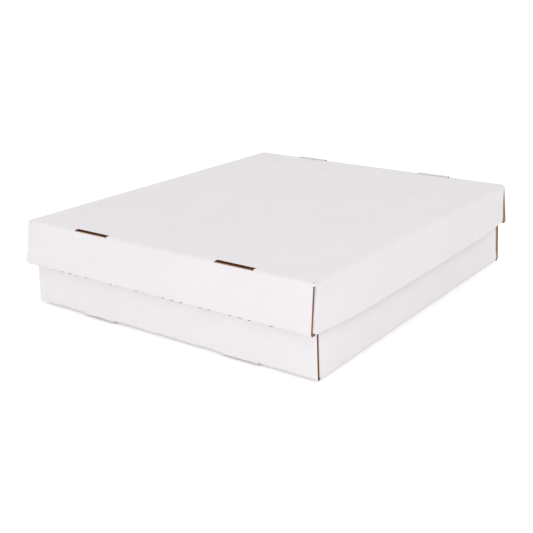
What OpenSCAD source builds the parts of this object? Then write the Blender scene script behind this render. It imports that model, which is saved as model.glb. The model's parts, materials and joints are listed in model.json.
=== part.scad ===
// Storage box for trading cards, folded from white corrugated board: a roll-end tray,
// a shallower roll-end lid that slips over it, and folded dividers that make the card rows.
// Millimetres. The origin is the centre of the tray's underside, +Z is up, the front is -Y.

/* [Board] */
// Thickness of the corrugated board
board = 3; // [2:0.1:4]
// Inner radius of every crease
crease_radius = 0.5; // [0.3:0.1:1]
// Depth that a crease is crushed below each face of the board
crease_crush = 0.15; // [0.1:0.05:0.3]
// Gap between plies that are folded against each other
ply_gap = 0.25; // [0.15:0.05:0.5]

/* [Rows] */
// Number of card rows side by side
row_count = 5; // [2:1:6]
// Clear width of a row at the floor
row_w = 72.5; // [66:0.5:90]
// Clear length of a row at the floor
row_len = 445; // [300:1:500]
// Height of the tray's rim above the dividers
rim_rise = 9; // [4:0.5:40]

/* [Dividers] */
// Height of a divider above the floor
divider_h = 90; // [60:1:120]
// Gap between a divider and the end wall at each end
divider_fit = 0.4; // [0.2:0.1:1]

/* [Tray] */
// Degrees that the side walls lean in towards the rim
tray_side_lean = 2.5; // [0:0.1:4]
// Degrees that the end walls lean in towards the rim
tray_end_lean = 1.3; // [0:0.1:3]
// Distance from a side crease to the cut edge of an end wall
tray_edge_inset = 0.8; // [0.5:0.1:3]
// Degrees that the cut edges of an end wall taper in towards the rim
tray_edge_taper = 3; // [0:0.1:5]
// Depth of the tab ends inside the tray's floor, above its underside
tray_tab_recess = 0.8; // [0.2:0.1:1.8]

/* [Lid] */
// Height of the lid's walls, along the wall
lid_wall = 54; // [35:0.5:85]
// Gap between the tray and the lid, on each side where they are closest
lid_fit = 0.5; // [0.3:0.1:3]
// Gap between the tray's rim and the lid's inner face
lid_seat = 0.2; // [0.1:0.05:0.8]
// Degrees that the left wall flares out
lid_left_flare = 11.5; // [0:0.5:14]
// Degrees that the right wall flares out
lid_right_flare = 5; // [0:0.5:14]
// Degrees that the front wall flares out
lid_front_flare = 3.5; // [0:0.5:10]
// Degrees that the rear wall flares out
lid_rear_flare = 9; // [0:0.5:10]
// Distance from a side crease to the cut edge of an end wall
lid_edge_inset = 1.6; // [0.5:0.1:3]
// Degrees that the cut edges of an end wall taper in towards the rim
lid_edge_taper = 0; // [0:0.1:5]
// Depth of the front tab ends below the lid's top
lid_front_tab_recess = 1.8; // [0.2:0.1:1.9]
// Height of the rear tab ends above the lid's top
lid_rear_tab_rise = 2.2; // [0:0.1:5]

/* [Locks] */
// Length of a lock slot along the crease
slot_len = 48; // [30:1:60]
// Distance from a side crease to the middle of a slot
slot_inset = 98.5; // [70:0.5:110]
// Sideways shift of the slots and tabs, to the right seen from outside each end
slot_shift = 3; // [0:0.5:6]
// Height that a slot is cut up the outer wall
slot_rise = 1; // [0.4:0.1:2]
// Gap between a tab and its slot, at each end of the slot
tab_fit = 1; // [0.5:0.1:3]
// Degrees of the set that brings a tab under its slot
tab_set = 30; // [20:1:45]
// Height above the floor at which a tab runs straight
tab_shoulder = 1; // [0.5:0.1:3]
// Size of the cut corners of a tab
tab_chamfer = 1; // [0.2:0.1:1.2]

/* [Corner flaps] */
// Gap between a corner flap and the nearest tab
flap_fit = 6; // [3:0.5:20]
// Degrees that a flap tapers beyond the lean of its wall
flap_draft = 4; // [1:0.5:10]
// Gap between the side walls and the edges of an inner end wall
inner_wall_fit = 0.8; // [0.4:0.1:3]

/* [Hidden] */

white_liner = "#f1eef0";
crease_facets = 64;
crease_lap = 10;
slot_overcut = 2;

// Sheet geometry that every fold shares
outer_radius = board + crease_radius;
ply = board + ply_gap;
end_stack = 3 * board + 2 * ply_gap;
roll = setback(90);
roll_strip = end_stack - 2 * roll;
flap_foot = outer_radius + ply_gap;
rim_notch = outer_radius + ply_gap;

// The set of a tab: two opposite bends that shift it by one ply
set_strip = (ply - (outer_radius + crease_radius) * (1 - cos(tab_set))) / sin(tab_set);
set_height = (outer_radius + crease_radius) * sin(tab_set) + set_strip * cos(tab_set);
tab_half = slot_len / 2 - tab_fit;
flap_len = slot_inset - slot_shift - slot_len / 2 - flap_fit - outer_radius;

// Tray: its clear space is set at the floor, its walls lean in above it
divider_w = 2 * outer_radius;
base_h = board + divider_h + rim_rise;
base_w = row_count * row_w + (row_count - 1) * divider_w + 2 * face_in(board, -tray_side_lean, board);
base_d = row_len + 2 * face_in(end_stack, -tray_end_lean, board);

// Lid: it clears the tray at the rim and at its own lower edge
lid_z = base_h + lid_seat + board;
lid_low = lid_z - lid_wall;
lid_side_flare = min(lid_left_flare, lid_right_flare);
lid_end_flare = min(lid_front_flare, lid_rear_flare);
lid_w = 2 * (lid_fit + board + max(
    base_w / 2 - base_h * tan(tray_side_lean),
    base_w / 2 - lid_low * tan(tray_side_lean) - lid_wall * sin(lid_side_flare)));
lid_d = 2 * (lid_fit + end_stack + max(
    base_d / 2 - base_h * tan(tray_end_lean),
    base_d / 2 - lid_low * tan(tray_end_lean) - lid_wall * sin(lid_end_flare)));

// Distance from the outer corner of a fold to where its bend begins
function setback(angle) = outer_radius * tan(angle / 2);

// Distance from an outer crease in to the inner face of a flaring wall, at a height
function face_in(thickness, flare, height) = thickness / cos(flare) - height * tan(flare);

// Place of a slot's middle along an end wall
function slot_x(width, side) = side * (width / 2 - slot_inset) - slot_shift;

// A wall that flares out is folded by less than a right angle
function fold_angle(flare) = 90 - flare;

// Where a flaring side wall meets a flaring end wall: the slope of the corner
// along the side wall, and the angle that the corner flap is folded by
function corner_slope(flare, end_flare) = cos(flare) * tan(end_flare);
function corner_angle(flare, end_flare) = acos(sin(flare) * sin(end_flare));

// Distance from the end crease to the end of a side wall's flat face, at the side crease
function corner_setback(flare, end_flare) =
    ply / cos(end_flare)
    + setback(corner_angle(flare, end_flare)) / cos(atan(corner_slope(flare, end_flare)));

// A flat piece of the sheet: outer face at z = 0, inner face up
module sheet(outline) {
    linear_extrude(board) polygon(outline);
}

// The section of a crease, turned about Z. It is thinner than the board, and it
// turns a little further than the fold, so that it ends inside the flat board
module crease_arc(from, to, angle) {
    rotate([0, 0, -crease_lap])
        rotate_extrude(angle = angle + 2 * crease_lap, $fn = crease_facets)
            translate([crease_radius + crease_crush, from + crease_crush])
                square([board - 2 * crease_crush, to - from - 2 * crease_crush]);
}

// The bend of a crease along X, towards the inner face, starting at y = 0
module crease_in(from, to, angle) {
    translate([0, 0, outer_radius])
        rotate([0, 90, 0])
            crease_arc(from, to, angle);
}

// The bend of a crease along X, towards the outer face
module crease_out(from, to, angle) {
    translate([0, 0, -crease_radius])
        rotate([0, -90, 0])
            crease_arc(-to, -from, angle);
}

// The frame of the sheet past a bend towards the inner face
module past_crease_in(angle) {
    translate([0, 0, outer_radius])
        rotate([angle, 0, 0])
            translate([0, 0, -outer_radius])
                children();
}

// The frame of the sheet past a bend towards the outer face
module past_crease_out(angle) {
    translate([0, 0, -crease_radius])
        rotate([-angle, 0, 0])
            translate([0, 0, crease_radius])
                children();
}

// The frame at the crease of an end wall: Y points out of the tray
module at_end(depth, flare, turn) {
    rotate([0, 0, turn])
        translate([0, depth / 2 - setback(fold_angle(flare)), 0])
            children();
}

// The frame at the top of an outer end wall, where the roll-over begins
module at_roll(wall, flare) {
    past_crease_in(fold_angle(flare))
        translate([0, wall - setback(fold_angle(flare)) - roll, 0])
            children();
}

// The frame at the top of an inner end wall: Y points down to the floor
module at_inner_wall(wall, flare) {
    at_roll(wall, flare)
        past_crease_in(90)
            translate([0, roll_strip, 0])
                past_crease_in(90)
                    children();
}

// Height at which an inner end wall stops, above the floor of a wall that may lean in
function inner_wall_stop(flare) =
    (ply + end_stack * sin(max(0, -flare))) / cos(flare);

// Height at which a tab leaves the inner end wall
tab_root = board + tab_shoulder + set_height;

// An end wall: outer wall, roll-over and inner wall, without the tabs
module end_wall(width, wall, flare, inner_half, edge_inset, edge_taper) {
    angle = fold_angle(flare);
    outer_h = wall - setback(angle) - roll;
    crease_half = width / 2 - edge_inset;
    rim_half = crease_half - wall * tan(edge_taper);
    crease_in(-crease_half, crease_half, angle);
    past_crease_in(angle)
        sheet([
            [-crease_half, 0], [crease_half, 0],
            [rim_half, outer_h], [-rim_half, outer_h]]);
    at_roll(wall, flare) {
        crease_in(-rim_half, rim_half, 90);
        past_crease_in(90) {
            sheet([
                [-rim_half, 0], [rim_half, 0],
                [rim_half, roll_strip], [-rim_half, roll_strip]]);
            translate([0, roll_strip, 0])
                crease_in(-rim_half, rim_half, 90);
        }
    }
    at_inner_wall(wall, flare)
        inner_wall(width, wall - roll - inner_wall_stop(flare), wall - roll - tab_root, inner_half);
}

// An inner end wall, slit beside each tab so that the tab can be set back
module inner_wall(width, height, tab_y, half) {
    linear_extrude(board)
        difference() {
            translate([-half, 0])
                square([2 * half, height]);
            for (side = [-1, 1])
                translate([slot_x(width, side) - slot_len / 2, tab_y])
                    square([slot_len, height]);
        }
}

// The two tabs of an end wall; reach is how far they pass the outer face of the floor
module lock_tabs(width, wall, flare, reach) {
    tongue = board + tab_shoulder + reach;
    for (side = [-1, 1])
        at_inner_wall(wall, flare)
            translate([slot_x(width, side), wall - roll - tab_root, 0]) {
                crease_in(-tab_half, tab_half, tab_set);
                past_crease_in(tab_set) {
                    sheet([
                        [-tab_half, 0], [tab_half, 0],
                        [tab_half, set_strip], [-tab_half, set_strip]]);
                    translate([0, set_strip, 0]) {
                        crease_out(-tab_half, tab_half, tab_set);
                        past_crease_out(tab_set)
                            sheet([
                                [-tab_half, 0], [tab_half, 0],
                                [tab_half, tongue - tab_chamfer], [tab_half - tab_chamfer, tongue],
                                [tab_chamfer - tab_half, tongue], [-tab_half, tongue - tab_chamfer]]);
                    }
                }
            }
}

// The two slots of an end wall, cut through the crease and a little way up the outer wall
module lock_slots(width, flare, reach) {
    low = slot_rise;
    high = outer_radius;
    inward = 2 * ply + max(0, reach) * tan(max(0, flare));
    for (side = [-1, 1])
        translate([slot_x(width, side) - slot_len / 2, 0, 0])
            rotate([90, 0, 90])
                linear_extrude(slot_len)
                    polygon([
                        [slot_overcut, -slot_overcut], [slot_overcut, low],
                        [-face_in(board, flare, low), low], [-face_in(board, flare, high), high],
                        [-inward, high], [-inward, -slot_overcut]]);
}

// A side wall with a corner flap at each end: X runs to the front, Y away from the tray
module side_wall(depth, wall, flare, front_flare, rear_flare) {
    angle = fold_angle(flare);
    foot = setback(angle);
    top = wall - rim_notch;
    front = depth / 2 - corner_setback(flare, front_flare);
    rear = depth / 2 - corner_setback(flare, rear_flare);
    front_notch = depth / 2 - (end_stack + ply_gap) / cos(front_flare);
    rear_notch = depth / 2 - (end_stack + ply_gap) / cos(rear_flare);
    front_slope = corner_slope(flare, front_flare);
    rear_slope = corner_slope(flare, rear_flare);
    crease_in(-rear, front, angle);
    past_crease_in(angle)
        translate([0, -foot, 0]) {
            sheet([
                [front + foot * front_slope, foot],
                [front + top * front_slope, top],
                [front_notch + top * front_slope, top],
                [front_notch + wall * front_slope, wall],
                [-rear_notch - wall * rear_slope, wall],
                [-rear_notch - top * rear_slope, top],
                [-rear - top * rear_slope, top],
                [-rear - foot * rear_slope, foot]]);
            translate([front, 0, 0])
                corner_flap(top, flare, front_flare);
            mirror([1, 0, 0])
                translate([rear, 0, 0])
                    corner_flap(top, flare, rear_flare);
        }
}

// A corner flap, folded off the end of a side wall into the pocket of the end wall
module corner_flap(top, flare, end_flare) {
    slant = atan(corner_slope(flare, end_flare));
    low = flap_foot / cos(slant);
    high = top / cos(slant);
    angle = corner_angle(flare, end_flare);
    low_rise = flap_len * tan(max(0, -flare) + flap_draft);
    high_drop = flap_len * tan(max(0, flare) + flap_draft);
    rotate([0, 0, -90 - slant]) {
        crease_in(-high, -low, angle);
        past_crease_in(angle)
            sheet([
                [-low, 0], [-low - low_rise, flap_len],
                [high_drop - high, flap_len], [-high, 0]]);
    }
}

// The panel that the four walls are folded up from, with a tongue to each end crease
module main_panel(width, depth, left, right, front, rear, edge_inset) {
    end_half = width / 2 - edge_inset;
    x_left = setback(fold_angle(left)) - width / 2;
    x_right = width / 2 - setback(fold_angle(right));
    y_front = setback(fold_angle(front)) - depth / 2;
    y_rear = depth / 2 - setback(fold_angle(rear));
    front_step = min(corner_setback(left, front), corner_setback(right, front)) - ply_gap - depth / 2;
    rear_step = depth / 2 + ply_gap - min(corner_setback(left, rear), corner_setback(right, rear));
    sheet([
        [x_left, front_step], [-end_half, front_step], [-end_half, y_front],
        [end_half, y_front], [end_half, front_step], [x_right, front_step],
        [x_right, rear_step], [end_half, rear_step], [end_half, y_rear],
        [-end_half, y_rear], [-end_half, rear_step], [x_left, rear_step]]);
}

// A roll-end tray from one sheet: main panel down, walls up. Flares are in degrees,
// negative for a wall that leans in
module roll_end_tray(width, depth, wall, left, right, front, rear,
                     edge_inset, edge_taper, front_reach, rear_reach) {
    side_lean = max(0, -left, -right);
    inner_half = width / 2 - board - wall * tan(side_lean) - inner_wall_fit;
    difference() {
        union() {
            main_panel(width, depth, left, right, front, rear, edge_inset);
            translate([width / 2 - setback(fold_angle(right)), 0, 0])
                rotate([0, 0, -90])
                    side_wall(depth, wall, right, front, rear);
            mirror([1, 0, 0])
                translate([width / 2 - setback(fold_angle(left)), 0, 0])
                    rotate([0, 0, -90])
                        side_wall(depth, wall, left, front, rear);
            at_end(depth, front, 180)
                end_wall(width, wall, front, inner_half, edge_inset, edge_taper);
            at_end(depth, rear, 0)
                end_wall(width, wall, rear, inner_half, edge_inset, edge_taper);
        }
        translate([0, depth / 2, 0])
            lock_slots(width, rear, rear_reach);
        rotate([0, 0, 180])
            translate([0, depth / 2, 0])
                lock_slots(width, front, front_reach);
    }
    at_end(depth, front, 180)
        lock_tabs(width, wall, front, front_reach);
    at_end(depth, rear, 0)
        lock_tabs(width, wall, rear, rear_reach);
}

module base() {
    color(white_liner)
        roll_end_tray(
            base_w, base_d, base_h,
            -tray_side_lean, -tray_side_lean, -tray_end_lean, -tray_end_lean,
            tray_edge_inset, tray_edge_taper, -tray_tab_recess, -tray_tab_recess);
}

module lid() {
    color(white_liner)
        translate([0, 0, lid_z])
            mirror([0, 0, 1])
                roll_end_tray(
                    lid_w, lid_d, lid_wall,
                    lid_left_flare, lid_right_flare, lid_front_flare, lid_rear_flare,
                    lid_edge_inset, lid_edge_taper, -lid_front_tab_recess, lid_rear_tab_rise);
}

// A divider: one strip folded in half along its top, standing between two rows.
// Its ends follow the lean of the end walls
module divider(number) {
    side_h = divider_h - outer_radius;
    foot_half = row_len / 2 - divider_fit;
    shoulder_half = foot_half - side_h * tan(tray_end_lean);
    fold_half = foot_half - divider_h * tan(tray_end_lean);
    color(white_liner)
        translate([(number - row_count / 2) * (row_w + divider_w) - outer_radius, 0, board])
            rotate([90, 0, 90]) {
                sheet([
                    [-foot_half, 0], [foot_half, 0],
                    [shoulder_half, side_h], [-shoulder_half, side_h]]);
                translate([0, side_h, 0]) {
                    crease_in(-fold_half, fold_half, 180);
                    past_crease_in(180)
                        sheet([
                            [-shoulder_half, 0], [shoulder_half, 0],
                            [foot_half, side_h], [-foot_half, side_h]]);
                }
            }
}

base();
lid();
for (i = [1 : row_count - 1])
    divider(i);
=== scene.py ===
import json
from math import acos, atan, ceil, cos, hypot, pi, radians, sin, tan
import bmesh
import bpy
import numpy as np
from mathutils import Matrix

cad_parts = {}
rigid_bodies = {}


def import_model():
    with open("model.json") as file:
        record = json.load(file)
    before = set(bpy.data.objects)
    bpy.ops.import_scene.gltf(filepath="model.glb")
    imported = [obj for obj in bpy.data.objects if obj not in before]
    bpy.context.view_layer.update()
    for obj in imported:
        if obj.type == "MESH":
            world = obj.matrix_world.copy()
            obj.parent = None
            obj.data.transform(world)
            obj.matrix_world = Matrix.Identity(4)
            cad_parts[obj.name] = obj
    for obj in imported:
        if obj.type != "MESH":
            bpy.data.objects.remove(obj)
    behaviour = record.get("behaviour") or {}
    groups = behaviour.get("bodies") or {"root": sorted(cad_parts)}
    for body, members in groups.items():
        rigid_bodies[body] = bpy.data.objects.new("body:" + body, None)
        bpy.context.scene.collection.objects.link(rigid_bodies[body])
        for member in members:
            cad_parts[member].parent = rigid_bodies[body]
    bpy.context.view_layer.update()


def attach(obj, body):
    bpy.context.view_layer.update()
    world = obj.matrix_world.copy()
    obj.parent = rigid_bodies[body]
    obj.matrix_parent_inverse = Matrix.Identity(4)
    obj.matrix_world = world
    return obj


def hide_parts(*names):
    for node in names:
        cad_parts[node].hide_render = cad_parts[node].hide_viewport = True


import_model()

# Sizes of the folded board in millimetres, the same as in the part's source
BOARD = 3.0
CREASE = 0.5
GAP = 0.25
OUTER = BOARD + CREASE
PLY = BOARD + GAP
STACK = 3 * BOARD + 2 * GAP
ROLL = OUTER
NOTCH = OUTER + GAP
TAB_SET = radians(30)
SET_STRIP = (PLY - (OUTER + CREASE) * (1 - cos(TAB_SET))) / sin(TAB_SET)
SET_HEIGHT = (OUTER + CREASE) * sin(TAB_SET) + SET_STRIP * cos(TAB_SET)
SLOT_HALF = 24.0
SLOT_INSET = 98.5
SLOT_SHIFT = 3.0
SLOT_RISE = 1.0
TAB_HALF = 23.0
TAB_SHOULDER = 1.0
TAB_CHAMFER = 1.0
TAB_ROOT = BOARD + TAB_SHOULDER + SET_HEIGHT
FLAP_FIT = 6.0
FLAP_LEN = SLOT_INSET - SLOT_SHIFT - SLOT_HALF - FLAP_FIT - OUTER
FLAP_DRAFT = radians(4)
INNER_FIT = 0.8
ROW_W, ROW_LEN, ROWS = 72.5, 445.0, 5
DIVIDER_H, RIM_RISE, DIVIDER_FIT = 90.0, 9.0, 0.4
DIVIDER_W = 2 * OUTER
SIDE_LEAN, END_LEAN = radians(2.5), radians(1.3)
TRAY_TAB_RECESS = 0.8
LID_WALL, LID_FIT, LID_SEAT = 54.0, 0.5, 0.2
LID_LEFT, LID_RIGHT, LID_FRONT, LID_REAR = radians(11.5), radians(5), radians(3.5), radians(9)
LID_REAR_TAB_RISE = 2.2

# Looks of the faces, in the order of a piece's materials
WHITE, KRAFT, RAW, FLUTED, SHADED, LIT_TIP = range(6)

# Cut-and-land pattern of the roll-over folds: period, half a cut, ramp at its ends, first cut
NICK, NICK_HALF, NICK_RAMP, NICK_START = 12.7, 2.5, 0.7, -3.1
NICK_OPEN = np.random.default_rng(11).random(37)
# A cut shows its core where it has opened this far, in these cells of a bend
NICK_SHOWN, NICK_CELLS = 0.45, (3, 4, 5)
# Depth of a closed cut, what an open one adds to it, and the rows of a bend that sink
NICK_SHUT, NICK_DEEPER, NICK_ROWS = 0.2, 0.9, (4, 5)
# Distances that the cuts' columns, their core and their sunk rows keep from the inner wall's ends
NICK_MARGIN, CORE_MARGIN, SINK_MARGIN = 8, 4, 6

# Rows across a cut edge: liner, fluted core, liner
LINER = 0.1
CORE = [float(t) for t in np.linspace(0.12, 0.88, 13)]
ACROSS = [0.0, 0.09] + CORE + [0.91, 1.0]
PLAIN = [0, 1, 2, len(ACROSS) - 3, len(ACROSS) - 2, len(ACROSS) - 1]
# Depth of a plain cut edge
CRUSHED = 0.3
# Flutes at a cut edge: period, swing, half the paper's thickness and its ramp as shares of the board
FLUTE, FLUTE_SWING, PAPER_HALF, PAPER_RAMP = 6.5, 0.36, 0.07, 0.08
# Depth of the fluted paper, what the hollows beside it add, and the length of an edge's pieces
PAPER_DEPTH, HOLLOW_DEPTH, FLUTE_STEP = 0.12, 1.3, 0.45
# A slot's edge is a lip where it lies this near the lip's height, and a tab's tip where it is this low
LIP_BAND, TIP_LEVEL = 0.5, -1

# Fineness of the meshes
BEND = [0.0, 0.12, 0.24, 0.36, 0.46, 0.54, 0.64, 0.76, 0.88, 1.0]
WALL_STEPS, FLAP_STEPS, CORNER_STEPS, DIVIDER_COLUMNS = 8, 6, 8, 41
COLUMN_STEP, STATION_STEP = 7, 10
# Points that fall in the same cell of this grid are one, and its shift keeps round numbers off its lines
WELD_PER_MM, WELD_SHIFT = 50, 0.237
# Values this near are doubles, a margin for comparing places, and the least gap beside a cut's column
SAME, NEAR, NICK_APART = 0.02, 0.01, 0.25

# A side wall follows its corners over the last stretch to each end
CORNER_REACH, CORNER_BLEND = 70, 56
# Height over which a corner draws in to its flap, on the lid and on the tray
CLOSED_DRAW, OPEN_DRAW = 26, 14
# Height above the crease where the lid's corner flaps start
CORNER_RISE = 0.15

# Height above the crease where the walls start to bow
BOW_FROM = 4
MM = 0.001


def setback(angle):
    """Distance from a crease's tangent point to the corner of the outer faces."""
    return OUTER * tan(angle / 2)


def face_in(thickness, flare, height):
    """Distance of a wall's inner face, at a height, from the outer edge of its foot."""
    return thickness / cos(flare) - height * tan(flare)


def corner_slope(flare, end_flare):
    return cos(flare) * tan(end_flare)


def corner_angle(flare, end_flare):
    return acos(sin(flare) * sin(end_flare))


def corner_setback(flare, end_flare):
    lean = atan(corner_slope(flare, end_flare))
    return PLY / cos(end_flare) + setback(corner_angle(flare, end_flare)) / cos(lean)


def corner_slack(flare, end_flare):
    """How far a corner flap's hinge lies behind the end crease."""
    return corner_setback(flare, end_flare) - setback(pi / 2 - end_flare)


def share_of(value):
    return min(1.0, max(0.0, value))


def ease(value):
    value = share_of(value)
    return value * value * (3 - 2 * value)


def slot_middles(width, turn):
    """Middles of the two slots of an end. turn is 1 at the rear and -1 at the front."""
    return [side * (width / 2 - SLOT_INSET) - turn * SLOT_SHIFT for side in (-1, 1)]


def from_nick(x):
    """Distance from the middle of the nearest cut in a roll-over fold."""
    return abs((x - NICK_START + NICK / 2) % NICK - NICK / 2)


def nick_strength(x):
    """How far a cut has opened, with a value for each stretch between the middles of two cuts."""
    return NICK_OPEN[int((x - NICK_START) // NICK + 0.5) % len(NICK_OPEN)]


def filled(values, step):
    """The values in order, without near doubles, with even steps between them."""
    out = []
    for value in sorted(values):
        if out and value - out[-1] < SAME:
            continue
        if out:
            parts = ceil((value - out[-1]) / step)
            out += [out[-1] + (value - out[-1]) * k / parts for k in range(1, parts)]
        out.append(value)
    return np.array(out)


def between(values):
    return (values[1:] + values[:-1]) / 2


class Walk:
    """Stations along the outer face of a strip, in the plane that it is folded in.

    A row is a station's place and the direction to the inner face. A zone names the stretch between
    two rows.
    """

    def __init__(self, a, b, heading):
        self.a, self.b, self.heading = a, b, heading
        self.rows = [(a, b, -sin(heading), cos(heading))]
        self.zones = []

    def step(self, zone):
        self.rows.append((self.a, self.b, -sin(self.heading), cos(self.heading)))
        self.zones.append(zone)

    def flat(self, length, steps, zone):
        for _ in range(steps):
            self.a += length / steps * cos(self.heading)
            self.b += length / steps * sin(self.heading)
            self.step(zone)

    def bend(self, angle, zone):
        start = self.heading
        radius = OUTER if angle > 0 else -CREASE
        mid_a = self.a - radius * sin(start)
        mid_b = self.b + radius * cos(start)
        for part in BEND[1:]:
            self.heading = start + angle * part
            self.a = mid_a + radius * sin(self.heading)
            self.b = mid_b - radius * cos(self.heading)
            self.step(zone)

    def again(self):
        """A new walk that goes on from here."""
        return Walk(self.a, self.b, self.heading)


class Sheet:
    """One folded sheet: paired outer and inner skins, welded by place, with cut edges."""

    def __init__(self):
        self.ids = {}
        self.outer, self.inner, self.fold = [], [], []
        self.cells = []

    def vertex(self, outer, inner, fold):
        key = tuple(np.floor(outer * WELD_PER_MM + WELD_SHIFT).astype(int))
        if key not in self.ids:
            self.ids[key] = len(self.outer)
            self.outer.append(outer)
            self.inner.append(inner)
            self.fold.append(fold)
        return self.ids[key]

    def grid(self, outer, inner, keep, raw=None, fold=None):
        """Adds the kept cells of a grid. raw marks cells that show the core, fold marks worn rows."""
        rows, columns = outer.shape[:2]
        ids = {}

        def at(i, j):
            if (i, j) not in ids:
                mark = 0.0 if fold is None else fold[i]
                ids[i, j] = self.vertex(outer[i, j], inner[i, j], mark)
            return ids[i, j]

        for i in range(rows - 1):
            for j in range(columns - 1):
                if keep[i, j]:
                    corners = [at(i, j), at(i, j + 1), at(i + 1, j + 1), at(i + 1, j)]
                    look = RAW if raw is not None and raw[i, j] else WHITE
                    self.cells.append((list(dict.fromkeys(corners)), look))

    def rim(self):
        """The edges that only one cell has, each with its cell."""
        seen = {}
        for index, (cell, _) in enumerate(self.cells):
            for a, b in zip(cell, cell[1:] + cell[:1]):
                seen.setdefault((min(a, b), max(a, b)), []).append((index, a, b))
        return [found[0] for found in seen.values() if len(found) == 1]

    def split(self, edge_look):
        """Cuts the fluted edges into short pieces, and returns all rim edges and the fluted points."""
        edges, points = [], set()
        for index, a, b in self.rim():
            p, q = self.outer[a], self.outer[b]
            look = edge_look(p, q)
            if look in (RAW, LIT_TIP):
                edges.append((index, a, b, look))
                continue
            count = max(1, ceil(np.linalg.norm(q - p) / FLUTE_STEP))
            chain = [a]
            for k in range(1, count):
                f = k / count
                chain.append(len(self.outer))
                self.outer.append(p * (1 - f) + q * f)
                self.inner.append(self.inner[a] * (1 - f) + self.inner[b] * f)
                self.fold.append(0.0)
            chain.append(b)
            cell = self.cells[index][0]
            at = cell.index(a)
            cell[at + 1:at + 1] = chain[1:-1]
            edges += [(index, c, d, look) for c, d in zip(chain, chain[1:])]
            points.update(chain)
        return edges, points

    def inward(self, edges, outer):
        """The direction into the board at each point of the rim, or nothing where sides cancel out."""
        middles = {edge[0]: outer[self.cells[edge[0]][0]].mean(axis=0) for edge in edges}
        total = {}
        for index, a, b, _ in edges:
            along = outer[b] - outer[a]
            along = along / np.linalg.norm(along)
            side = middles[index] - (outer[a] + outer[b]) / 2
            side = side - along * (side @ along)
            side = side / np.linalg.norm(side)
            for v in (a, b):
                total[v] = total.get(v, 0) + side
        cancelled = 0.3
        sizes = {v: np.linalg.norm(side) for v, side in total.items()}
        return {v: side / sizes[v] if sizes[v] > cancelled else side * 0 for v, side in total.items()}

    def close(self, edge_look):
        """Vertices, faces, face looks and fold marks of the closed sheet."""
        edges, waved = self.split(edge_look)
        outer, inner = np.array(self.outer), np.array(self.inner)
        count = len(outer)
        last = len(ACROSS) - 1
        points = list(outer) + list(inner)
        fold = list(self.fold) * 2
        across = {}
        for v, side in self.inward(edges, outer).items():
            across[v] = {0: v, last: count + v}
            for k in range(len(ACROSS)) if v in waved else PLAIN:
                if k in across[v]:
                    continue
                t = ACROSS[k]
                depth = edge_depth(outer[v][0], t, v in waved)
                across[v][k] = len(points)
                points.append(outer[v] * (1 - t) + inner[v] * t + side * depth)
                fold.append(0.0)
        faces = [list(cell) for cell, _ in self.cells]
        looks = [look for _, look in self.cells]
        faces += [[count + v for v in reversed(cell)] for cell, _ in self.cells]
        looks += [RAW if look == RAW else KRAFT for _, look in self.cells]
        for _, a, b, look in edges:
            rows = PLAIN if look in (RAW, LIT_TIP) else list(range(len(ACROSS)))
            for low, high in zip(rows, rows[1:]):
                ring = [across[a][k] for k in range(low, high + 1) if k in across[a]]
                ring += [across[b][k] for k in range(high, low - 1, -1) if k in across[b]]
                faces.append(ring)
                looks.append(KRAFT if high == last else look)
        return np.array(points), faces, looks, np.array(fold)


def edge_depth(x, t, waved):
    """How far a point of a cut edge lies inside the board. t runs from the outer to the inner face."""
    if t < LINER or t > 1 - LINER:
        return 0.0
    if not waved:
        return CRUSHED
    paper = 0.5 + FLUTE_SWING * sin(2 * pi * x / FLUTE)
    return PAPER_DEPTH + HOLLOW_DEPTH * ease((abs(t - paper) - PAPER_HALF) / PAPER_RAMP)


def strip(walk, span, place):
    """Outer and inner points of a walk that is drawn out across the columns of each row."""
    outer = np.array([
        [place(x, a, b) for x in span(i)]
        for i, (a, b, _, _) in enumerate(walk.rows)])
    inner = np.array([
        [place(x, a + BOARD * in_a, b + BOARD * in_b) for x in span(i)]
        for i, (a, b, in_a, in_b) in enumerate(walk.rows)])
    return outer, inner


def fold_marks(walk):
    """A mark of 1 on each row inside a bend."""
    marks = [0.0] * len(walk.rows)
    for i in range(1, len(walk.rows) - 1):
        if walk.zones[i - 1] == walk.zones[i] and walk.zones[i].startswith("bend"):
            marks[i] = 1.0
    return marks


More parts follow.
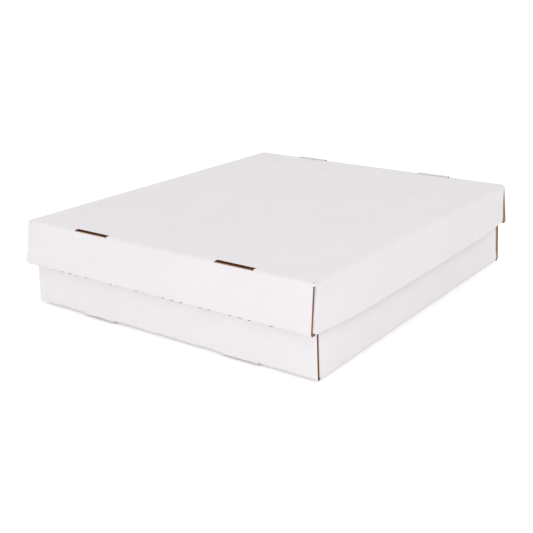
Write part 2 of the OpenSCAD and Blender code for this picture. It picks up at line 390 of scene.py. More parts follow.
def end_wall(sheet, columns, slots, limits, depth, wall, flare, reach, turn, closed):
    """One rolled end wall with its tabs. turn is 1 at the rear and -1 at the front."""
    x_left, x_right, inner_half, creases, rims = limits
    angle = pi / 2 - flare
    middle = between(columns)

    def place(x, a, b):
        return (x, turn * a, b)

    def in_slot(x):
        return any(abs(x - c) < SLOT_HALF for c in slots)

    # The outer wall, the roll-over and the inner wall
    walk = Walk(depth / 2 - setback(angle), 0, 0)
    walk.bend(angle, "bend")
    foot = walk.again()
    foot_row = len(walk.rows) - 1
    walk.flat(wall - setback(angle) - ROLL, WALL_STEPS, "wall")
    rim_row = len(walk.rows) - 1
    walk.bend(pi / 2, "bend_1")
    walk.flat(STACK - 2 * ROLL, 1, "strip")
    walk.bend(pi / 2, "bend_2")
    walk.flat(wall - ROLL - TAB_ROOT, WALL_STEPS, "inner")

    def span(i):
        """The columns, with the wall's ends drawn to its length at the crease and at the rim."""
        f = share_of((i - foot_row) / (rim_row - foot_row))
        out = columns.copy()
        for side, crease, rim in zip((-1, 1), creases, rims):
            far = side * columns > inner_half + NEAR
            scale = (crease * (1 - f) + rim * f - inner_half) / (crease - inner_half)
            out[far] = side * (inner_half + (side * columns[far] - inner_half) * scale)
        return out

    outer, inner = strip(walk, span, place)
    keep = np.zeros((len(walk.zones), len(middle)), bool)
    raw = np.zeros_like(keep)
    for i, zone in enumerate(walk.zones):
        if zone == "bend":
            low, high = (x_left, x_right) if closed else (-creases[0], creases[1])
            keep[i] = [low < x < high and not in_slot(x) for x in middle]
        elif zone == "inner":
            keep[i] = np.abs(middle) < inner_half
        else:
            keep[i] = (middle > -creases[0]) & (middle < creases[1])
        if zone in ("bend_1", "bend_2") and walk.zones[:i].count(zone) in NICK_CELLS:
            raw[i] = [
                from_nick(x) < NICK_HALF
                and abs(x) < inner_half - CORE_MARGIN
                and nick_strength(x) > NICK_SHOWN
                for x in middle]
    for zone in ("bend_1", "bend_2"):
        first = walk.zones.index(zone)
        for row in (first + k for k in NICK_ROWS):
            into_board = np.array(place(0, *walk.rows[row][2:]))
            for j, x in enumerate(columns):
                in_nick = from_nick(x) < NICK_HALF - NICK_RAMP + NEAR
                if in_nick and abs(x) < inner_half - SINK_MARGIN:
                    outer[row, j] += (NICK_SHUT + NICK_DEEPER * nick_strength(x)) * into_board
    sheet.grid(outer, inner, keep, raw, fold_marks(walk))

    # The outer wall runs on straight to the slots
    down = setback(angle) - SLOT_RISE / cos(flare)
    lip = Walk(foot.a - down * cos(foot.heading), foot.b - down * sin(foot.heading), foot.heading)
    lip.flat(down, 1, "lip")
    outer, inner = strip(lip, lambda i: columns, place)
    sheet.grid(outer, inner, np.array([[in_slot(x) for x in middle]]))

    # The inner wall's foot, beside the tabs
    stop = (PLY + STACK * sin(max(0, -flare))) / cos(flare)
    low = walk.again()
    low.flat(TAB_ROOT - stop, 1, "foot")
    outer, inner = strip(low, lambda i: columns, place)
    beside = [abs(x) < inner_half and not in_slot(x) for x in middle]
    sheet.grid(outer, inner, np.array([beside]))

    # The tabs, set back by one ply into the slots
    tab = walk.again()
    tab.bend(TAB_SET, "bend")
    tab.flat(SET_STRIP, 2, "set")
    tab.bend(-TAB_SET, "bend")
    tab.flat(BOARD + TAB_SHOULDER + reach - TAB_CHAMFER, 2, "tongue")
    tab.flat(TAB_CHAMFER, 1, "tip")
    last = len(tab.rows) - 1

    def tab_span(i):
        out = columns.copy()
        if i == last:
            for c in slots:
                near = np.abs(columns - c) < TAB_HALF + NEAR
                out[near] = c + (columns[near] - c) * (TAB_HALF - TAB_CHAMFER) / TAB_HALF
        return out

    outer, inner = strip(tab, tab_span, place)
    on_tab = [any(abs(x - c) < TAB_HALF for c in slots) for x in middle]
    sheet.grid(outer, inner, np.array([on_tab] * len(tab.zones)), None, fold_marks(tab))


def side_wall(sheet, stations, width, depth, wall, flare, front, rear, turn, closed, bow, trim):
    """One side wall and its two corner flaps. turn is 1 on the right and -1 on the left."""
    angle = pi / 2 - flare
    foot = setback(angle)
    low = foot + CORNER_RISE if closed else NOTCH
    top = wall - NOTCH
    ends = {}
    for sign, end_flare in ((-1, front), (1, rear)):
        crease = depth / 2 - setback(pi / 2 - end_flare)
        slack = corner_slack(flare, end_flare)
        notch = depth / 2 - (STACK + GAP) / cos(end_flare) + slack
        ends[sign] = sign * crease, slack, corner_slope(flare, end_flare), sign * notch
    inside = (stations > ends[-1][0] - NEAR / 2) & (stations < ends[1][0] + NEAR / 2)
    columns = stations[inside]
    middle = between(columns)
    walk = Walk(width / 2 - foot, 0, 0)
    walk.bend(angle, "bend")
    base = walk.again()
    walk.flat(low - foot, 1, "low")
    walk.flat(top - low, WALL_STEPS, "wall")
    walk.flat(NOTCH, 2, "top")
    hinge_stops = [low + (top - low) * k / WALL_STEPS for k in range(WALL_STEPS + 1)]
    wall_heights = hinge_stops + [top + NOTCH / 2, wall]
    heights = [foot * f for f in BEND] + wall_heights

    def drawn_in(height):
        return ease((height - foot) / (CLOSED_DRAW if closed else OPEN_DRAW))

    def cut_back(height, share):
        """The height on a wall whose rim is trimmed towards its corners."""
        return height - trim * share * max(0.0, height - low) / (wall - low)

    up_wall = np.array((turn * cos(base.heading), 0, sin(base.heading)))
    into_wall = np.array((-turn * sin(base.heading), 0, cos(base.heading)))
    outer, inner = strip(walk, lambda i: columns, lambda y, a, b: (turn * a, y, b))
    for i, full in enumerate(heights):
        for j, column in enumerate(columns):
            near = min(ends, key=lambda sign: abs(column - ends[sign][0]))
            y_end, slack, slope, _ = ends[near]
            share = share_of((CORNER_REACH - abs(column - y_end)) / CORNER_BLEND)
            height = cut_back(full, share)
            move = up_wall * (height - full)
            move[1] += near * share * (height * slope - slack * drawn_in(height))
            move[0] += turn * bow(column + move[1], height)
            outer[i, j] += move
            inner[i, j] += move
    keep = np.ones((len(walk.zones), len(middle)), bool)
    if not closed:
        for i, zone in enumerate(walk.zones):
            if zone == "top":
                keep[i] = (middle > ends[-1][3]) & (middle < ends[1][3])
    sheet.grid(outer, inner, keep, None, fold_marks(walk))

    # The corner flaps, folded off the wall's ends
    low_rise = FLAP_LEN * tan(max(0, -flare) + FLAP_DRAFT)
    high_drop = FLAP_LEN * tan(max(0, flare) + FLAP_DRAFT)
    hinge_heights = [cut_back(height, 1) for height in (wall_heights if closed else hinge_stops)]
    hinge_top = hinge_heights[-1]
    for sign, (y_end, slack, slope, _) in ends.items():
        outward = np.array((0, sign, 0))
        norm = hypot(1, slope)
        hinge = (up_wall + slope * outward) / norm
        away = (outward - slope * up_wall) / norm
        origin = np.array((turn * base.a, y_end - sign * slack, base.b)) - foot * up_wall
        flap = Walk(0, 0, 0)
        flap.bend(corner_angle(flare, front if sign < 0 else rear), "bend")
        flap.flat(FLAP_LEN, FLAP_STEPS, "flap")
        outer, inner = [], []
        for i, (a, b, in_a, in_b) in enumerate(flap.rows):
            turned = BEND[min(i, len(BEND) - 1)]
            far = max(0, i - len(BEND) + 1) / FLAP_STEPS
            start = low * norm + low_rise * far
            end = norm * (hinge_top + (top - hinge_top) * turned) - high_drop * far
            line = []
            for height in hinge_heights:
                share = (height - low) / (hinge_top - low)
                p = origin + hinge * (start + (end - start) * share)
                p = p + outward * slack * (1 - drawn_in(height)) * (1 - turned) ** 2
                line.append(p + np.array((turn * bow(p[1], height), 0, 0)))
            outer.append([p + away * a + into_wall * b for p in line])
            a, b = a + BOARD * in_a, b + BOARD * in_b
            inner.append([p + away * a + into_wall * b for p in line])
        keep = np.ones((len(flap.zones), len(hinge_heights) - 1), bool)
        sheet.grid(np.array(outer), np.array(inner), keep, None, fold_marks(flap))


def closed_corner(sheet, x, y, side_angle, end_angle):
    """The rounded corner between two creases, where the cut beside the end wall stops short."""
    turn_x, turn_y = (1 if x > 0 else -1), (1 if y > 0 else -1)
    middle = np.array((x, y, OUTER))
    outer, inner = [], []
    for part in BEND:
        rays = []
        for share in np.linspace(0, 1, CORNER_STEPS + 1):
            tilt = part * (end_angle * (1 - share) + side_angle * share)
            swing = share * pi / 2
            level = turn_x * sin(tilt) * sin(swing), turn_y * sin(tilt) * cos(swing)
            rays.append(np.array((*level, -cos(tilt))))
        outer.append([middle + OUTER * ray for ray in rays])
        inner.append([middle + CREASE * ray for ray in rays])
    marks = [0.0] + [1.0] * (len(BEND) - 2) + [0.0]
    keep = np.ones((len(BEND) - 1, CORNER_STEPS), bool)
    raw = np.zeros_like(keep)
    # A small patch near the corner's point takes the cut core's colour, a brown-grey speck
    raw[1:3, 2:6] = True
    sheet.grid(np.array(outer), np.array(inner), keep, raw, marks)


def folded_tray(width, depth, wall, flares, reaches, creases, rims, closed, bows, trims):
    """A roll-end tray, floor down and walls up, as one sheet.

    flares are left, right, front and rear. reaches, creases and rims are for the front, then the rear,
    and each crease or rim is the length of the end wall to the left and to the right of the middle.
    """
    sheet = Sheet()
    left, right, front, rear = flares
    front_reach, rear_reach = reaches
    lean = max(0, -left, -right)
    inner_half = width / 2 - BOARD - wall * tan(lean) - INNER_FIT
    x_left = setback(pi / 2 - left) - width / 2
    x_right = width / 2 - setback(pi / 2 - right)
    slots = {turn: slot_middles(width, turn) for turn in (-1, 1)}

    # Columns from left to right
    keys = [x_left, -inner_half, inner_half, x_right]
    for to_left, to_right in creases:
        keys += [-to_left, to_right]
    for c in slots[-1] + slots[1]:
        keys += [c - SLOT_HALF, c - TAB_HALF, c + TAB_HALF, c + SLOT_HALF]
    steps = int((inner_half - NICK_MARGIN) / NICK)
    edges = (-NICK_HALF, NICK_RAMP - NICK_HALF, NICK_HALF - NICK_RAMP, NICK_HALF)
    nicks = [NICK_START + k * NICK + d for k in range(-steps, steps + 1) for d in edges]
    keys += [x for x in nicks if min(abs(x - key) for key in keys) > NICK_APART]
    columns = filled(keys, COLUMN_STEP)
    middle = between(columns)

    # Stations from front to rear
    y_front = setback(pi / 2 - front) - depth / 2
    y_rear = depth / 2 - setback(pi / 2 - rear)
    slot_front = 2 * PLY + max(0, front_reach) * tan(max(0, front)) - depth / 2
    slot_rear = depth / 2 - 2 * PLY - max(0, rear_reach) * tan(max(0, rear))
    stations = [y_front, y_rear, slot_front, slot_rear]
    for flare in (left, right):
        stations += [(STACK + GAP) / cos(front) - depth / 2 - corner_slack(flare, front),
                     depth / 2 - (STACK + GAP) / cos(rear) + corner_slack(flare, rear)]
    stations = filled(stations, STATION_STEP)

    # The floor with its slots
    floor = Walk(stations[0], 0, 0)
    for low, high in zip(stations, stations[1:]):
        floor.flat(high - low, 1, "floor")
    outer, inner = strip(floor, lambda i: columns, lambda x, a, b: (x, a, b))
    keep = np.zeros((len(floor.zones), len(middle)), bool)
    for i, y in enumerate(between(stations)):
        turn = -1 if y < slot_front else 1 if y > slot_rear else 0
        for j, x in enumerate(middle):
            cut = turn and any(abs(x - c) < SLOT_HALF for c in slots[turn])
            keep[i, j] = x_left < x < x_right and not cut
    sheet.grid(outer, inner, keep)

    # The walls and corners
    for flare, reach, turn, crease, rim in zip((front, rear), reaches, (-1, 1), creases, rims):
        limits = x_left, x_right, inner_half, crease, rim
        end_wall(sheet, columns, slots[turn], limits, depth, wall, flare, reach, turn, closed)
    for flare, turn, bow, trim in zip((left, right), (-1, 1), bows, trims):
        side_wall(sheet, stations, width, depth, wall, flare, front, rear, turn, closed, bow, trim)
    if closed:
        for x, flare in ((x_left, left), (x_right, right)):
            for y, end_flare in ((y_front, front), (y_rear, rear)):
                closed_corner(sheet, x, y, pi / 2 - flare, pi / 2 - end_flare)

    def edge_look(p, q):
        """Flutes show in the slots alone: pale on the lips, with painted shade deeper in and pale painted
        light on the tabs' tips.
        """
        mid = (p + q) / 2
        lengthwise = 0.9
        along = abs(q[0] - p[0]) > lengthwise * np.linalg.norm(q - p)
        turn = 1 if mid[1] > 0 else -1
        if not along or all(abs(mid[0] - c) > SLOT_HALF for c in slots[turn]):
            return RAW
        if mid[2] < TIP_LEVEL:
            return LIT_TIP
        return FLUTED if abs(mid[2] - SLOT_RISE) < LIP_BAND else SHADED

    return sheet.close(edge_look)


def folded_divider(number):
    """A strip folded in half along its top, standing on the tray's floor."""
    sheet = Sheet()
    middle = (number - ROWS / 2) * (ROW_W + DIVIDER_W)
    side_h = DIVIDER_H - OUTER
    foot_half = ROW_LEN / 2 - DIVIDER_FIT
    walk = Walk(middle + OUTER, BOARD, pi / 2)
    walk.flat(side_h, WALL_STEPS, "leg")
    walk.bend(pi, "bend")
    walk.flat(side_h, WALL_STEPS, "leg")
    columns = np.linspace(-1, 1, DIVIDER_COLUMNS)

    def span(i):
        return columns * (foot_half - (walk.rows[i][1] - BOARD) * tan(END_LEAN))

    outer, inner = strip(walk, span, lambda y, a, b: (a, y, b))
    keep = np.ones((len(walk.zones), len(columns) - 1), bool)
    sheet.grid(outer, inner, keep, None, fold_marks(walk))
    return sheet.close(lambda p, q: RAW)


def add_piece(name, shape, warp, looks, body, node):
    """A mesh piece in the frame, from points in millimetres."""
    points, faces, face_looks, fold = shape
    mesh = bpy.data.meshes.new(name)
    mesh.from_pydata((warp(points) * MM).tolist(), [], faces)
    for look in looks:
        mesh.materials.append(look)
    mesh.polygons.foreach_set("material_index", face_looks)
    mesh.polygons.foreach_set("use_smooth", [True] * len(faces))
    mesh.attributes.new("fold", "FLOAT", "POINT").data.foreach_set("value", fold)
    cage = bmesh.new()
    cage.from_mesh(mesh)
    bmesh.ops.recalc_face_normals(cage, faces=cage.faces)
    cage.to_mesh(mesh)
    cage.free()
    mesh.set_sharp_from_angle(angle=radians(38))
    mesh.update()
    piece = bpy.data.objects.new(name, mesh)
    bpy.context.scene.collection.objects.link(piece)
    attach(piece, body)
    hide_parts(node)


class Graph:
    """Short hand for a material's nodes."""

    # Numbers of the colour sockets on a mix node
    MIX_SHARE, MIX_FIRST, MIX_SECOND, MIX_RESULT = 0, 6, 7, 2
    # The middle of a noise's values, which is spread over a whole range
    SPREAD = 0.3, 0.7

    def __init__(self, name):
        self.material = bpy.data.materials.new(name)
        self.material.use_nodes = True
        self.tree = self.material.node_tree
        self.shader = self.tree.nodes["Principled BSDF"]
        self.place = self.add("ShaderNodeTexCoord").outputs["Object"]

    def add(self, kind, **values):
        node = self.tree.nodes.new(kind)
        for key, value in values.items():
            setattr(node, key, value)
        return node

    def join(self, source, target):
        self.tree.links.new(source, target)

    def noise(self, scale, stretch=(1, 1, 1), detail=4, roughness=0.6):
        mapping = self.add("ShaderNodeMapping")
        mapping.inputs["Scale"].default_value = stretch
        self.join(self.place, mapping.inputs["Vector"])
        node = self.add("ShaderNodeTexNoise")
        node.inputs["Scale"].default_value = scale
        node.inputs["Detail"].default_value = detail
        node.inputs["Roughness"].default_value = roughness
        self.join(mapping.outputs["Vector"], node.inputs["Vector"])
        return node.outputs["Fac"]

    def range(self, value, low, high, to_low=0.0, to_high=1.0):
        node = self.add("ShaderNodeMapRange")
        node.inputs["From Min"].default_value = low
        node.inputs["From Max"].default_value = high
        node.inputs["To Min"].default_value = to_low
        node.inputs["To Max"].default_value = to_high
        self.join(value, node.inputs["Value"])
        return node.outputs["Result"]

    def mix(self, share, first, second):
        node = self.add("ShaderNodeMix", data_type="RGBA")
        self.join(share, node.inputs[self.MIX_SHARE])
        for number, value in ((self.MIX_FIRST, first), (self.MIX_SECOND, second)):
            if isinstance(value, tuple):
                node.inputs[number].default_value = (*value, 1)
            else:
                self.join(value, node.inputs[number])
        return node.outputs[self.MIX_RESULT]

    def math(self, operation, first, second=0.0):
        node = self.add("ShaderNodeMath", operation=operation)
        for socket, value in zip(node.inputs, (first, second)):
            if isinstance(value, (int, float)):
                socket.default_value = value
            else:
                self.join(value, socket)
        return node.outputs["Value"]

    def total(self, *parts):
        """The sum of values, each times its weight."""
        terms = [self.math("MULTIPLY", value, weight) for value, weight in parts]
        out = terms[0]
        for term in terms[1:]:
            out = self.math("ADD", out, term)
        return out

    def axes(self, vector):
        node = self.add("ShaderNodeSeparateXYZ")
        self.join(vector, node.inputs["Vector"])
        return node.outputs

    def finish(self, colour, height, distance, roughness, specular):
        self.join(colour, self.shader.inputs["Base Color"])
        bump = self.add("ShaderNodeBump")
        bump.inputs["Strength"].default_value = 0.6
        bump.inputs["Distance"].default_value = distance
        self.join(height, bump.inputs["Height"])
        self.join(bump.outputs["Normal"], self.shader.inputs["Normal"])
        self.join(roughness, self.shader.inputs["Roughness"])
        self.shader.inputs["Specular IOR Level"].default_value = specular
        return self.material


def darker(colour, share):
    return tuple(c * share for c in colour)


def white_liner(name, bright, dull, flute_on_sides):
    """White top liner: fibre, soft mottle, faint flute lines and greyed folds."""
    g = Graph(name)
    mottle = g.noise(22, detail=5)
    grain = g.noise(420, (1, 0.35, 0.35), detail=6, roughness=0.7)
    fibre = g.noise(2300, (1, 0.3, 0.3), detail=3)
    tone = g.total((mottle, 0.6), (grain, 0.4))
    colour = g.mix(g.range(tone, *g.SPREAD), dull, bright)
    mark = g.add("ShaderNodeAttribute", attribute_name="fold").outputs["Fac"]
    wear = g.range(g.noise(160, detail=6), 0.42, 0.7, to_low=0.02, to_high=0.2)
    colour = g.mix(g.math("MULTIPLY", mark, wear), colour, darker(dull, 0.86))
    flutes_per_metre = 2 * pi / (FLUTE * MM)
    place = g.axes(g.place)
    across = g.math("SINE", g.math("MULTIPLY", place["X"], flutes_per_metre))
    up = g.math("SINE", g.math("MULTIPLY", place["Z"], flutes_per_metre))
    ribs = across
    if flute_on_sides:
        facing = g.axes(g.add("ShaderNodeTexCoord").outputs["Normal"])
        on_side = g.range(g.math("ABSOLUTE", facing["X"]), 0.6, 0.8)
        ribs = g.total((up, on_side), (across, g.math("SUBTRACT", 1.0, on_side)))
    height = g.total((ribs, 0.10), (fibre, 0.25), (grain, 0.35))
    roughness = g.range(grain, *g.SPREAD, to_low=0.62, to_high=0.8)
    return g.finish(colour, height, distance=0.00022, roughness=roughness, specular=0.3)


def kraft_liner(name, light, dark):
    """Brown kraft liner with long fibres and flecks."""
    g = Graph(name)
    mottle = g.noise(30, detail=5)
    fibre = g.noise(700, (1, 0.12, 1), detail=6, roughness=0.7)
    fleck = g.noise(1500, (0.25, 1, 1), detail=2)
    tone = g.total((mottle, 0.45), (fibre, 0.55))
    colour = g.mix(g.range(tone, *g.SPREAD), dark, light)
    flecks = g.range(fleck, 0.66, 0.74, to_low=0, to_high=0.35)
    colour = g.mix(flecks, colour, darker(dark, 0.5))
    height = g.total((fibre, 0.6), (mottle, 0.2))
    roughness = g.range(fibre, *g.SPREAD, to_low=0.7, to_high=0.88)
    return g.finish(colour, height, distance=0.0003, roughness=roughness, specular=0.25)


# Materials
lid_white = white_liner(
    "lid_white_liner", bright=(0.729, 0.703, 0.720), dull=(0.694, 0.668, 0.685), flute_on_sides=True)
tray_white = white_liner(
    "tray_white_liner", bright=(0.75, 0.723, 0.734), dull=(0.71, 0.684, 0.695), flute_on_sides=True)
divider_white = white_liner(
    "divider_white_liner", bright=(0.703, 0.678, 0.686), dull=(0.664, 0.640, 0.648), flute_on_sides=False)
kraft = kraft_liner("kraft_liner", light=(0.434, 0.286, 0.165), dark=(0.312, 0.191, 0.104))
core = kraft_liner("cut_core", light=(0.275, 0.145, 0.098), dark=(0.150, 0.074, 0.047))
# A darker copy of the cut core for the tray's and dividers' cut edges: the core's own brown, darkened
# further as painted shade for the narrow slits at the tray's corners
tray_core_painted_shade = kraft_liner("tray_cut_core_painted_shade", light=(0.150, 0.074, 0.046), dark=(0.082, 0.038, 0.022))
flutes = kraft_liner("fluted_core", light=(0.590, 0.372, 0.262), dark=(0.450, 0.262, 0.172))
shade = kraft_liner("shaded_core", light=(0.215, 0.098, 0.054), dark=(0.118, 0.050, 0.026))
# Pale cut core, painted light: the tabs' tips facing up are lighter than the other cut edges
pale_edge_painted_light = kraft_liner("pale_cut_core_painted_light", light=(0.746, 0.694, 0.651), dark=(0.694, 0.625, 0.573))
lid_looks = (kraft, core, flutes, shade, pale_edge_painted_light)
# On the tray the slots' lips take the pale core too, painted light that keeps the gap under the lifted
# front crease light grey instead of brown
tray_looks = (kraft, tray_core_painted_shade, pale_edge_painted_light, shade, pale_edge_painted_light)

# Tray
base_h = BOARD + DIVIDER_H + RIM_RISE
base_w = ROWS * ROW_W + (ROWS - 1) * DIVIDER_W + 2 * face_in(BOARD, -SIDE_LEAN, BOARD)
base_d = ROW_LEN + 2 * face_in(STACK, -END_LEAN, BOARD)

# The end walls stop short of the side walls and taper, and the rear one is longer on the right
TRAY_END_SHORT, TRAY_END_TAPER, TRAY_REAR_LONG = 0.8, radians(3), 1.2
# How far the side walls give in, and the height that they take for it
TRAY_GIVE, TRAY_GIVE_HEIGHT = 0.9, 46
# The foot's lift fades out at this height
LIFT_FADE = 40
# The lifted bands along the front and right creases: their width and the ramp at their inner side
FRONT_BAND, FRONT_RAMP = 9.7, 3
RIGHT_BAND, RIGHT_RAMP = 16, 9
# Lift of the front crease, what it gains to the left and loses in the slots, and the ramp at a slot's ends
FRONT_LIFT, LEFT_GAIN, SLOT_LOSS, SLOT_RAMP = 1.6, 0.7, 0.7, 1.5
# Waves of the front crease: height, length and phase
FRONT_WAVES = (0.28, 52, 1), (0.2, 31, 2)
# Lift of the right crease at its ends, and what it gains at its middle
RIGHT_LIFT, RIGHT_GAIN = 0.9, 1.6
# How far the front left corner is drawn in at the foot, and over what length
CORNER_TUCK, CORNER_TUCK_LEN = 2.6, 30


def tray_bow(_, height):
    """Side walls that give in a little, evenly along their length."""
    return -TRAY_GIVE * min(1.0, max(0.0, height - BOW_FROM) / TRAY_GIVE_HEIGHT)


tray_crease = base_w / 2 - TRAY_END_SHORT
tray_rim = tray_crease - base_h * tan(TRAY_END_TAPER)
tray_shape = folded_tray(
    base_w, base_d, base_h,
    flares=(-SIDE_LEAN, -SIDE_LEAN, -END_LEAN, -END_LEAN),
    reaches=(-TRAY_TAB_RECESS, -TRAY_TAB_RECESS),
    creases=[(tray_crease, tray_crease), (tray_crease, tray_crease + TRAY_REAR_LONG)],
    rims=[(tray_rim, tray_rim), (tray_rim, tray_rim + TRAY_REAR_LONG)],
    closed=False, bows=(tray_bow, tray_bow), trims=(0, 0))


def warp_tray(points):
    """The worn foot: front crease lifted in waves, right crease at its middle, left corner drawn in."""
    out = points.copy()
    x, y, z = points.T
    low = np.clip(1 - z / LIFT_FADE, 0, 1)
    front = np.clip((-y - base_d / 2 + FRONT_BAND) / FRONT_RAMP, 0, 1)
    right = np.clip((x - base_w / 2 + RIGHT_BAND) / RIGHT_RAMP, 0, 1)
    in_slot = np.zeros_like(x)
    for slot in slot_middles(base_w, -1):
        in_slot = np.maximum(in_slot, np.clip((SLOT_HALF - np.abs(x - slot)) / SLOT_RAMP, 0, 1))
    to_left = np.clip(0.5 - x / base_w, 0, 1)
    to_rear = np.clip(0.5 + y / base_d, 0, 1)
    wave = sum(size * np.sin(x * 2 * pi / length + phase) for size, length, phase in FRONT_WAVES)
    front_lift = FRONT_LIFT + LEFT_GAIN * to_left + wave - SLOT_LOSS * in_slot
    right_lift = RIGHT_LIFT + RIGHT_GAIN * np.sin(pi * to_rear)
    to_corner = np.clip((-x - base_w / 2 + CORNER_TUCK_LEN) / CORNER_TUCK_LEN, 0, 1)
    out[:, 2] += low * np.maximum(front * front_lift, right * right_lift)
    out[:, 0] += low * front * to_corner * CORNER_TUCK
    return out


add_piece("tray_sheet", tray_shape, warp_tray, (tray_white, *tray_looks), "tray", "base")

# Dividers
DIVIDER_LEAN = 0.35
for number in range(1, ROWS):
    def warp_divider(points, lean=(-1) ** number * DIVIDER_LEAN):
        """A divider that bows to one side at its middle, every other one to the other side."""
        out = points.copy()
        bow = np.cos(points[:, 1] * 2 * pi / ROW_LEN) + 1
        out[:, 0] += lean * bow * (points[:, 2] - BOARD) / DIVIDER_H
        return out

    add_piece("divider_sheet_%d" % number, folded_divider(number), warp_divider,
              (divider_white, *tray_looks), "tray", "divider_%d" % number)

# Lid
lid_z = base_h + LID_SEAT + BOARD
lid_low = lid_z - LID_WALL
lid_w = 2 * (LID_FIT + BOARD + max(
    base_w / 2 - base_h * tan(SIDE_LEAN),
    base_w / 2 - lid_low * tan(SIDE_LEAN) - LID_WALL * sin(min(LID_LEFT, LID_RIGHT))))
lid_d = 2 * (LID_FIT + STACK + max(
    base_d / 2 - base_h * tan(END_LEAN),
    base_d / 2 - lid_low * tan(END_LEAN) - LID_WALL * sin(min(LID_FRONT, LID_REAR))))

# How far the front tabs' tips lie below the top, deeper than in the solid
LID_FRONT_TAB_RECESS = 2.6
# How far the end walls stop short of the lid's half width, and pass it at the rim
LID_FRONT_LEFT_SHORT, LID_FRONT_RIGHT_SHORT, LID_REAR_SHORT = 1.4, 1.6, 0.4
LID_FRONT_LEFT_LONG, LID_REAR_RIGHT_LONG = 3.0, 2.3
# How far the side walls bulge, and the right one is held in and trimmed at its corners
LID_BULGE, LID_HOLD, LID_RIGHT_TRIM = 0.8, 3.7, 2.0
# How far the top panel is crowned, and the height up to which a point belongs to it
LID_CROWN, LID_PANEL = 0.7, 3.6


def left_bow(y, height):
    """The left wall bulges a little between its corners."""
    return LID_BULGE * (1 - (2 * y / lid_d) ** 2) * max(0.0, height - BOW_FROM) / LID_WALL


def right_bow(y, height):
    """The right wall is held in at its corners and bulges between them."""
    along = min(1.0, abs(2 * y / lid_d))
    out = LID_BULGE * (1 - along ** 2) - LID_HOLD * along ** 6
    return out * max(0.0, height - BOW_FROM) / (LID_WALL - BOW_FROM)


lid_half = lid_w / 2
lid_shape = folded_tray(
    lid_w, lid_d, LID_WALL,
    flares=(LID_LEFT, LID_RIGHT, LID_FRONT, LID_REAR),
    reaches=(-LID_FRONT_TAB_RECESS, LID_REAR_TAB_RISE),
    creases=[(lid_half - LID_FRONT_LEFT_SHORT, lid_half - LID_FRONT_RIGHT_SHORT),
             (lid_half - LID_REAR_SHORT, lid_half - LID_REAR_SHORT)],
    rims=[(lid_half + LID_FRONT_LEFT_LONG, lid_half - LID_FRONT_RIGHT_SHORT),
          (lid_half - LID_REAR_SHORT, lid_half + LID_REAR_RIGHT_LONG)],
    closed=True, bows=(left_bow, right_bow), trims=(0, LID_RIGHT_TRIM))


def warp_lid(points):
    """The lid turned top up, with its panel crowned a little."""
    out = points.copy()
    x, y, z = points.T
    crown = np.clip(1 - (2 * x / lid_w) ** 2, 0, 1) * np.clip(1 - (2 * y / lid_d) ** 2, 0, 1)
    out[:, 2] -= np.where(z < LID_PANEL, crown * LID_CROWN, 0)
    out[:, 2] = lid_z - out[:, 2]
    return out


add_piece("lid_sheet", lid_shape, warp_lid, (lid_white, *lid_looks), "lid", "lid")

# Floor, in metres, with white paper that glows a little so that it stays as bright as the photo's ground
FLOOR_HALF, FLOOR_DROP = 30, 0.0004
PAPER_TONE, PAPER_GLOW = 0.92, 0.19
floor_mesh = bpy.data.meshes.new("floor")
floor_corners = [(x * FLOOR_HALF, y * FLOOR_HALF, 0) for x, y in ((-1, -1), (1, -1), (1, 1), (-1, 1))]
floor_mesh.from_pydata(floor_corners, [], [(0, 1, 2, 3)])
floor = bpy.data.objects.new("floor", floor_mesh)
bpy.context.scene.collection.objects.link(floor)
floor.location.z = -FLOOR_DROP
paper = bpy.data.materials.new("floor_paper")
paper.use_nodes = True
paper_shader = paper.node_tree.nodes["Principled BSDF"]
paper_shader.inputs["Base Color"].default_value = (PAPER_TONE, PAPER_TONE, PAPER_TONE, 1)
paper_shader.inputs["Roughness"].default_value = 0.9
paper_shader.inputs["Specular IOR Level"].default_value = 0.1
paper_shader.inputs["Emission Color"].default_value = (1, 1, 1, 1)
paper_shader.inputs["Emission Strength"].default_value = PAPER_GLOW
floor_mesh.materials.append(paper)

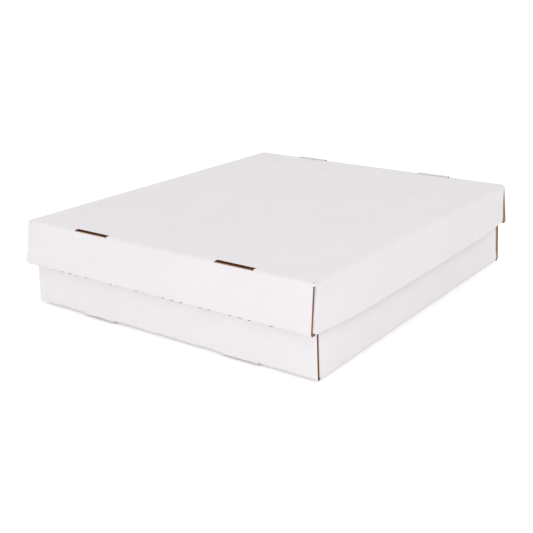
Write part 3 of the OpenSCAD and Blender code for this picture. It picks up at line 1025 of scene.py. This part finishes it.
# Light
world = bpy.data.worlds.new("studio")
world.use_nodes = True
world.node_tree.nodes["Background"].inputs["Color"].default_value = (1, 1, 1, 1)
world.node_tree.nodes["Background"].inputs["Strength"].default_value = 1.0
bpy.context.scene.world = world


def aimed(place, right, up, ahead):
    """The matrix of a light or camera that looks ahead."""
    rows = [(right[i], up[i], -ahead[i], place[i]) for i in range(3)]
    return Matrix(rows + [(0, 0, 0, 1)])


def add_light(name, place, target, size, power):
    """A square area light. Places and size are in metres, power in watts."""
    data = bpy.data.lights.new(name, "AREA")
    data.size = size
    data.energy = power
    lamp = bpy.data.objects.new(name, data)
    ahead = np.array(target, float) - np.array(place, float)
    ahead = ahead / np.linalg.norm(ahead)
    right = np.cross(ahead, (0, 0, 1))
    right = right / np.linalg.norm(right)
    lamp.matrix_world = aimed(place, right, np.cross(right, ahead), ahead)
    bpy.context.scene.collection.objects.link(lamp)


add_light("key_light", place=(0.9, -1.5, 0.48), target=(0, 0, 0.05), size=0.8, power=4.3)
add_light("top_light", place=(0.2, -0.5, 1.9), target=(0, 0, 0.1), size=1.0, power=3.1)

# Camera at the photograph's angle, as fitted to its edges, in metres and pixels
YAW, PITCH, TILT = radians(-34.9628), radians(18.5793), radians(-0.2452)
CAMERA_PLACE = (0.6178925, -0.9193824, 0.3907167)
PHOTO_WIDTH, PHOTO_FOCAL = 533, 910.2516
SENSOR = 36


def add_camera():
    ahead = np.array((cos(PITCH) * sin(YAW), cos(PITCH) * cos(YAW), -sin(PITCH)))
    level = np.array((cos(YAW), -sin(YAW), 0))
    above = np.cross(level, ahead)
    right = cos(TILT) * level + sin(TILT) * above
    up = cos(TILT) * above - sin(TILT) * level
    data = bpy.data.cameras.new("camera")
    data.sensor_width = SENSOR
    data.lens = PHOTO_FOCAL / PHOTO_WIDTH * SENSOR
    data.clip_end = 100
    camera = bpy.data.objects.new("camera", data)
    camera.matrix_world = aimed(CAMERA_PLACE, right, up, ahead)
    bpy.context.scene.collection.objects.link(camera)
    bpy.context.scene.camera = camera


add_camera()
bpy.context.scene.view_settings.view_transform = "Standard"
bpy.context.scene.view_settings.look = "None"
